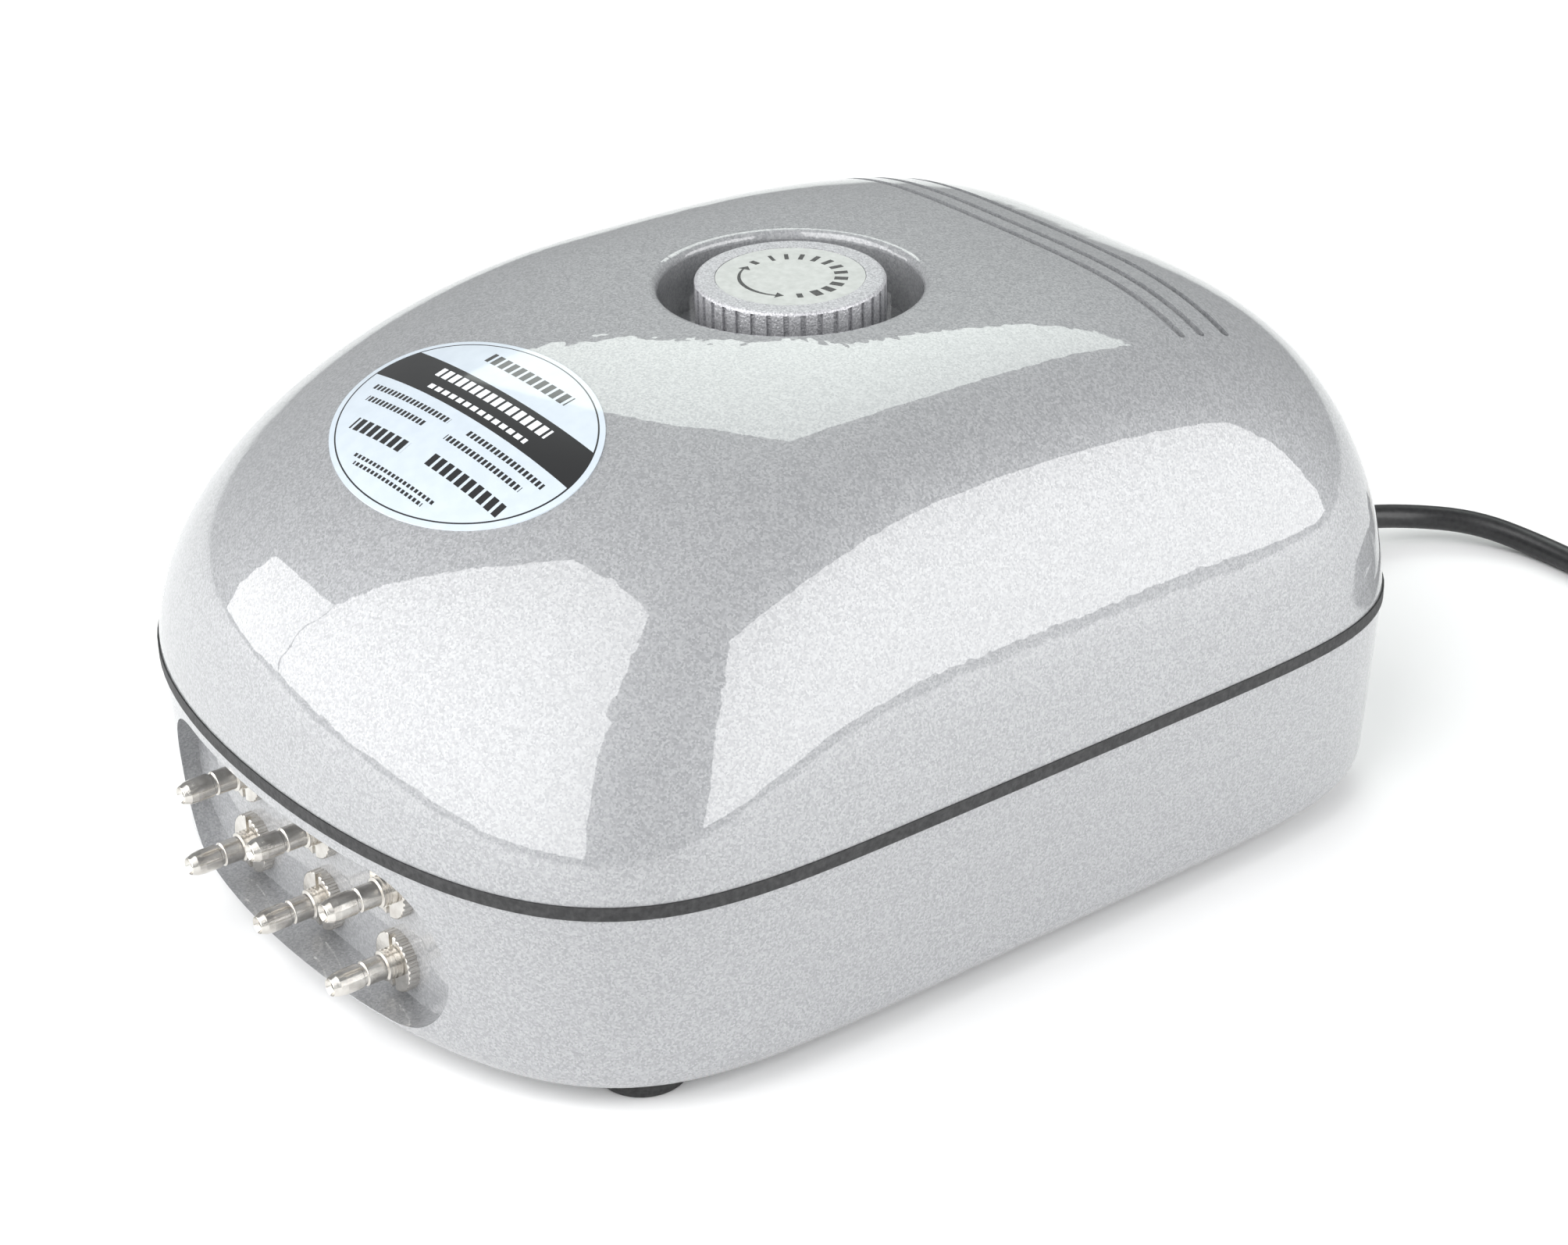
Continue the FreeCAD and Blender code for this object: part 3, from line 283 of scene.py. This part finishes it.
def dashes(tree, x, per_metre, gap):
    """1 on the dashes of a row, 0 in the gaps, whose share of each step is gap."""
    step = sum_up(tree, "FRACT", sum_up(tree, "MULTIPLY", x, per_metre), 0.0)
    return sum_up(tree, "GREATER_THAN", step, gap)


def print_rows(tree, ink, rows, marks):
    """Add the marks inside each row's rectangle, x0, x1, y0, y1, to the ink."""
    for row in rows:
        in_row = sum_up(tree, "MULTIPLY", patch(tree, film_x, film_y, *row), marks)
        ink = sum_up(tree, "MAXIMUM", ink, in_row)
    return ink


bold_dash = dashes(tree, film_x, bold_dashes_per_metre, bold_gap)
fine_dash = dashes(tree, film_x, fine_dashes_per_metre, fine_gap)
data_rows = (
    (-0.028, -0.002, -0.0655, -0.0643),
    (0.004, 0.028, -0.0655, -0.0643),
    (-0.026, -0.006, -0.0683, -0.0671),
    (0.001, 0.025, -0.0683, -0.0671),
    (-0.014, 0.013, -0.0786, -0.0779),
    (-0.012, 0.011, -0.0799, -0.0792),
)
ink = print_rows(tree, ink, data_rows, fine_dash)
bold_rows = (
    (0.003, 0.026, -0.0738, -0.0712),
    (-0.022, -0.004, -0.0745, -0.0719),
    (-0.013, 0.013, -0.0500, -0.0473),
)
ink = print_rows(tree, ink, bold_rows, bold_dash)
reversed_rows = (
    (-0.018, 0.018, -0.0578, -0.0555),
    (-0.016, 0.016, -0.0608, -0.0597),
)
light_mark = print_rows(tree, 0.0, reversed_rows, bold_dash)
grain = blend_colours(tree, noise(tree, place, 350.0, 3.0), (0.52, 0.58, 0.64, 1), film_blue, 0.35, 0.65)
printed = tree.nodes.new("ShaderNodeMix")
printed.data_type = "RGBA"
tree.links.new(ink, printed.inputs["Factor"])
tree.links.new(grain, printed.inputs["A"])
printed.inputs["B"].default_value = film_ink
marked = tree.nodes.new("ShaderNodeMix")
marked.data_type = "RGBA"
tree.links.new(light_mark, marked.inputs["Factor"])
tree.links.new(printed.outputs["Result"], marked.inputs["A"])
marked.inputs["B"].default_value = film_white
tree.links.new(marked.outputs["Result"], shader.inputs["Base Color"])
relief(tree, shader, noise(tree, place, 120.0, 2.0), 0.00004)
shader.inputs["Coat Weight"].default_value = 0.8
shader.inputs["Coat Roughness"].default_value = 0.06
paint(film, "name_label")


# ---- Control knob ----
# Moulded in silver-grey ABS with a fine spark-eroded texture and 36 flat ribs round its skirt.
grey_plastic, tree, shader, place = start_material("knob_plastic", 0.42, 0.45)
tree.links.new(blend_colours(tree, noise(tree, place, 2600.0, 2.0), (0.38, 0.38, 0.40, 1),
                             (0.62, 0.62, 0.64, 1), 0.35, 0.65), shader.inputs["Base Color"])
relief(tree, shader, noise(tree, place, 2200.0, 2.0), 0.0002)
paint(grey_plastic, "control_knob")


# ---- Knob inlay and its printed marks ----
# A pale satin film disc glued in the knob's face. Its marks are screen-printed in grey: a
# two-headed arc for the direction of turning, a stop mark at each end, and bars that grow.
inlay, tree, shader, place = start_material("inlay_film", 0.35)
tree.links.new(blend_colours(tree, noise(tree, place, 700.0, 3.0), (0.45, 0.47, 0.45, 1),
                             (0.54, 0.56, 0.54, 1), 0.3, 0.7), shader.inputs["Base Color"])
shader.inputs["Coat Weight"].default_value = 0.3
shader.inputs["Coat Roughness"].default_value = 0.2
paint(inlay, "knob_label")
inlay_low, inlay_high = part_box("knob_label")
inlay_centre = (Vector(inlay_low).xy + Vector(inlay_high).xy) / 2
mark_z = inlay_high[2]
mark_thickness = 0.00004
mark_radius = 0.0098
bar_count = 11
first_bar = 164             # degrees
bar_step = 17.1
bar_width = 0.0007
bar_growth = 0.0001
bar_height = 0.0026
stop_angles = (187, 333)
stop_width = 0.0011
stop_height = 0.0019
arrow_radius = 0.0096
arrow_shape = (0.00144, 0.00103, 1.0)
arrow_lead = 3              # degrees past the arc's end
marks = []


def on_inlay(radius, turn):
    """A point of the inlay's face, from its middle."""
    return (inlay_centre.x + radius * math.cos(turn), inlay_centre.y + radius * math.sin(turn), mark_z)


def print_bar(angle, radius, width, height):
    """One rectangular mark at an angle in degrees, its height along the radius."""
    turn = math.radians(angle)
    bpy.ops.object.select_all(action="DESELECT")
    bpy.ops.mesh.primitive_plane_add(size=1.0, rotation=(0, 0, turn), location=on_inlay(radius, turn))
    bar = bpy.context.object
    bar.scale = (height, width, 1.0)
    bpy.ops.object.transform_apply(location=True, rotation=True, scale=True)
    marks.append(bar)


for i in range(bar_count):
    print_bar(first_bar - i * bar_step, mark_radius, bar_width + bar_growth * i, bar_height)
for stop in stop_angles:
    print_bar(stop, mark_radius, stop_width, stop_height)
arc_from = 209
arc_to = 306
arc_start = math.radians(arc_from)
arc_length = math.radians(arc_to - arc_from)
arc_thin = 0.00016
arc_swell = 0.00022
print_bar(arc_from, mark_radius, 2 * arc_thin, 2 * arc_thin)
arc = marks[-1]
arc.name = "turning_arc"
leading = Vector((-math.sin(arc_start), math.cos(arc_start)))
for part in (arc.data.vertices, arc.data.polygons):
    for element in part:
        element.select = False
for edge in arc.data.edges:
    ends = [arc.data.vertices[i].co.xy - inlay_centre for i in edge.vertices]
    edge.select = all(end.dot(leading) > 0 for end in ends)
bpy.ops.object.mode_set(mode="EDIT")
bpy.context.tool_settings.mesh_select_mode = (False, True, False)
bpy.ops.mesh.spin(steps=32, angle=-arc_length, center=(*inlay_centre, mark_z), axis=(0, 0, 1))
bpy.ops.object.mode_set(mode="OBJECT")
for vertex in arc.data.vertices:
    spoke = vertex.co.xy - inlay_centre
    travelled = (math.atan2(spoke.y, spoke.x) - arc_start) % (2 * math.pi)
    half = arc_thin + arc_swell * max(0.0, math.sin(math.pi * min(travelled / arc_length, 1.0)))
    side = 1 if spoke.length > mark_radius else -1
    vertex.co.xy = inlay_centre + spoke.normalized() * (mark_radius + side * half)
for angle, way in ((arc_from, -1), (arc_to, 1)):
    turn = math.radians(angle + way * arrow_lead)
    bpy.ops.object.select_all(action="DESELECT")
    facing = turn if way > 0 else turn + math.pi
    bpy.ops.mesh.primitive_circle_add(vertices=3, radius=1.0, fill_type="NGON", rotation=(0, 0, facing),
                                      location=on_inlay(arrow_radius, turn))
    arrow = bpy.context.object
    arrow.scale = arrow_shape
    bpy.ops.object.transform_apply(location=True, rotation=True, scale=True)
    marks.append(arrow)
bpy.ops.object.select_all(action="DESELECT")
for bar in marks:
    bar.select_set(True)
bpy.context.view_layer.objects.active = arc
bpy.ops.object.join()
knob_marks = bpy.context.object
knob_marks.name = "knob_marks"
bpy.ops.object.mode_set(mode="EDIT")
bpy.ops.mesh.select_all(action="SELECT")
bpy.ops.mesh.normals_make_consistent(inside=False)
bpy.ops.object.mode_set(mode="OBJECT")
for polygon in knob_marks.data.polygons:
    if polygon.normal.z < 0:
        polygon.flip()
ink_depth = knob_marks.modifiers.new("ink_depth", "SOLIDIFY")
ink_depth.thickness = mark_thickness
ink_depth.offset = 1.0
bpy.ops.object.modifier_apply(modifier="ink_depth")
mark_ink, tree, shader, place = start_material("mark_ink", 0.45)
tree.links.new(blend_colours(tree, noise(tree, place, 3000.0, 3.0), (0.02, 0.02, 0.02, 1),
                             (0.07, 0.07, 0.07, 1), 0.4, 0.7), shader.inputs["Base Color"])
knob_marks.data.materials.append(mark_ink)
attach(knob_marks, "knob")


# ---- Outlet nipples and lock nuts ----
# Turned brass, nickel plated and bright. Each nipple is drawn tight against the pocket's wall
# by a knurled, slotted nut, and a silicone ring inside seals it to the manifold.
nickel, tree, shader, place = start_material("bright_nickel", 0.14, 1.0)
tree.links.new(blend_colours(tree, noise(tree, place, 500.0, 3.0), (0.60, 0.57, 0.53, 1),
                             (0.78, 0.76, 0.72, 1), 0.3, 0.7), shader.inputs["Base Color"])
vary_roughness(tree, shader, noise(tree, place, 1500.0, 4.0), 0.08, 0.24)
turning = tree.nodes.new("ShaderNodeTexWave")
turning.bands_direction = "Y"
turning.inputs["Scale"].default_value = 2200.0
turning.inputs["Distortion"].default_value = 1.5
tree.links.new(place, turning.inputs["Vector"])
relief(tree, shader, turning.outputs["Fac"], 0.00001)
paint(nickel, "outlet_nipple_1", "outlet_nipple_2", "outlet_nipple_3", "outlet_nipple_4",
      "outlet_nipple_5", "outlet_nipple_6", "outlet_lock_nuts")


# ---- Other moulded, pressed and cut pieces ----
# Each takes its own finish: two close colours in a grain of the real size, and a matching
# relief. The pieces inside show when the casings are taken apart.
def plain_finish(name, dark, light, roughness, metallic, grains, depth, *names):
    """A finish of two close colours, with grains per metre and a relief of the given depth."""
    material, tree, shader, place = start_material(name, roughness, metallic)
    amount = noise(tree, place, grains, 3.0)
    colour = blend_colours(tree, amount, (*dark, 1), (*light, 1), 0.35, 0.65)
    tree.links.new(colour, shader.inputs["Base Color"])
    wear = noise(tree, place, grains * 0.3, 2.0)
    vary_roughness(tree, shader, wear, roughness * 0.8, min(1.0, roughness * 1.2))
    relief(tree, shader, amount, depth)
    paint(material, *names)
    return shader


plain_finish("foot_rubber", (0.012, 0.012, 0.012), (0.03, 0.03, 0.03), 0.75, 0.0, 1200.0, 0.0001,
             "foot_front_left", "foot_front_right", "foot_rear_left", "foot_rear_right", "chassis_dampers")
plain_finish("zinc_plated_steel", (0.42, 0.43, 0.44), (0.60, 0.61, 0.62), 0.32, 1.0, 500.0, 0.00001,
             "case_screws", "pump_chassis", "chassis_screws", "arm_pivot_pins", "head_screws", "pot_shaft",
             "potentiometer", "pot_nut", "diaphragm_clamp_left", "diaphragm_clamp_right")
plain_finish("black_moulded_plastic", (0.02, 0.02, 0.022), (0.035, 0.035, 0.037), 0.5, 0.0, 1500.0, 0.00004,
             "air_manifold", "manifold_lid", "filter_cover")
shader = plain_finish(
    "clear_silicone", (0.62, 0.60, 0.54), (0.72, 0.70, 0.64), 0.35, 0.0, 300.0, 0.00002,
    "outlet_seal_rings", "valve_flaps", "air_hose_left", "air_hose_right")
shader.inputs["Subsurface Weight"].default_value = 0.4
shader.inputs["Subsurface Scale"].default_value = 0.002
shader = plain_finish(
    "white_felt", (0.62, 0.61, 0.57), (0.80, 0.79, 0.75), 0.95, 0.0, 2500.0, 0.0004, "filter_felt")
shader.inputs["Sheen Weight"].default_value = 0.5
plain_finish("bobbin_nylon", (0.60, 0.56, 0.46), (0.68, 0.64, 0.54), 0.45, 0.0, 500.0, 0.00002, "coil_bobbin")
plain_finish("ferrite", (0.05, 0.05, 0.052), (0.09, 0.09, 0.095), 0.55, 0.2, 900.0, 0.00005,
             "arm_magnet_left", "arm_magnet_right")
plain_finish("arm_plastic", (0.10, 0.11, 0.13), (0.14, 0.15, 0.17), 0.45, 0.0, 1200.0, 0.00003,
             "swing_arm_left", "swing_arm_right")
plain_finish("diaphragm_rubber", (0.02, 0.02, 0.02), (0.04, 0.04, 0.04), 0.65, 0.0, 800.0, 0.00004,
             "diaphragm_left", "diaphragm_right")
plain_finish("head_plastic", (0.50, 0.50, 0.48), (0.58, 0.58, 0.56), 0.4, 0.0, 900.0, 0.00003,
             "pump_head_left", "pump_head_right", "head_cover_left", "head_cover_right")
plain_finish("circuit_laminate", (0.03, 0.14, 0.06), (0.05, 0.20, 0.09), 0.35, 0.0, 400.0, 0.00002,
             "control_board")
plain_finish("board_parts", (0.03, 0.06, 0.16), (0.05, 0.09, 0.22), 0.4, 0.0, 600.0, 0.00003,
             "board_components")
plain_finish("lead_insulation", (0.30, 0.12, 0.04), (0.36, 0.16, 0.06), 0.4, 0.0, 700.0, 0.00002,
             "mains_leads", "coil_leads")
plain_finish("plug_pvc", (0.012, 0.012, 0.013), (0.022, 0.022, 0.024), 0.42, 0.0, 1800.0, 0.00005,
             "plug_body", "strain_relief")
plain_finish("pin_brass", (0.62, 0.60, 0.56), (0.72, 0.70, 0.66), 0.2, 1.0, 300.0, 0.00001, "plug_pins")

# The core is a stack of half-millimetre steel sheets, and the winding is enamelled wire.
core, tree, shader, place = start_material("stacked_steel", 0.4, 0.9)
sheets = tree.nodes.new("ShaderNodeTexWave")
sheets.bands_direction = "Z"
sheets.inputs["Scale"].default_value = 320.0
tree.links.new(place, sheets.inputs["Vector"])
tree.links.new(blend_colours(tree, sheets.outputs["Fac"], (0.10, 0.10, 0.11, 1), (0.30, 0.30, 0.32, 1)),
               shader.inputs["Base Color"])
relief(tree, shader, sheets.outputs["Fac"], 0.0001)
paint(core, "core_laminations")
wire, tree, shader, place = start_material("enamelled_wire", 0.3, 0.9)
strands = tree.nodes.new("ShaderNodeTexWave")
strands.bands_direction = "X"
strands.wave_profile = "SIN"
strands.inputs["Scale"].default_value = 800.0
tree.links.new(place, strands.inputs["Vector"])
tree.links.new(blend_colours(tree, strands.outputs["Fac"], (0.22, 0.07, 0.02, 1), (0.62, 0.26, 0.10, 1)),
               shader.inputs["Base Color"])
relief(tree, shader, strands.outputs["Fac"], 0.0001)
paint(wire, "coil_winding")


# ---- Mains cord ----
# A round black PVC flex of about 1.5 m. It leaves the rear boot, sinks to the table,
# and what is not in use is wound in a neat two-layer coil that ends in the plug.
cord_diameter = 0.0055
lying = cord_diameter / 2   # height of a cord's middle on the table
cord_points = [
    (0.0, 0.1394, 0.017),
    (0.0, 0.156, 0.017),
    (-0.001, 0.1705, 0.009),
    (0.003, 0.1865, 0.0062),
    (0.014, 0.1985, 0.0051),
    (0.0285, 0.204, lying),
    (0.0505, 0.2035, lying),
    (0.070, 0.202, lying),
    (0.086, 0.2022, lying),
]
coil_centre = Vector((0.097, 0.2445))
points_per_turn = 16
lower_turns = 3.5
upper_turns = 3.0
turn_pitch = 0.0057
outer_radius = 0.0418
first_turn_level = 0.25     # turns before the lower layer starts inwards
climb_turns = 0.3           # turns in which the cord rises to the upper layer
climb_height = 0.0056
climb_outwards = 0.0015
coil_start = math.radians(-90)
lower_count = int(lower_turns * points_per_turn)
upper_count = int(upper_turns * points_per_turn)


def coil_point(turn, radius, height):
    """A point on the coil after so many turns."""
    angle = coil_start + 2 * math.pi * turn
    return (coil_centre.x + radius * math.cos(angle), coil_centre.y + radius * math.sin(angle), height)


for i in range(1, lower_count + 1):
    turn = i / points_per_turn
    radius = outer_radius - turn_pitch * max(0.0, turn - first_turn_level)
    cord_points.append(coil_point(turn, radius, lying))
inner_radius = outer_radius - turn_pitch * (lower_turns - first_turn_level)
for i in range(1, upper_count):
    turn = i / points_per_turn
    climb = min(1.0, turn / climb_turns)
    radius = inner_radius + climb_outwards * climb + turn_pitch * max(0.0, turn - climb_turns)
    cord_points.append(coil_point(lower_turns + turn, radius, lying + climb_height * climb))
cord_points.extend([(0.092, 0.2822, 0.0084), (0.075, 0.282, 0.0083), (0.057, 0.2735, 0.0065)])
cord_curve = bpy.data.curves.new("power_cord_line", "CURVE")
cord_curve.dimensions = "3D"
cord_line = cord_curve.splines.new("NURBS")
cord_line.points.add(len(cord_points) - 1)
for point, spot in zip(cord_line.points, cord_points):
    point.co = (*spot, 1.0)
cord_line.order_u = 3
cord_line.use_endpoint_u = True
cord_line.resolution_u = 6
cord_curve.bevel_depth = cord_diameter / 2
cord_curve.bevel_resolution = 6
cord_curve.use_fill_caps = True
cord = bpy.data.objects.new("mains_cord", cord_curve)
bpy.context.scene.collection.objects.link(cord)
cord_pvc, tree, shader, place = start_material("cord_pvc", 0.36)
tree.links.new(blend_colours(tree, noise(tree, place, 900.0, 3.0), (0.010, 0.010, 0.011, 1),
                             (0.020, 0.020, 0.021, 1), 0.35, 0.65), shader.inputs["Base Color"])
vary_roughness(tree, shader, noise(tree, place, 150.0, 3.0), 0.3, 0.44)
relief(tree, shader, noise(tree, place, 1200.0, 3.0), 0.00003)
cord_curve.materials.append(cord_pvc)
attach(cord, "case")
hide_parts("power_cord", "cord_coil", "plug_lead")
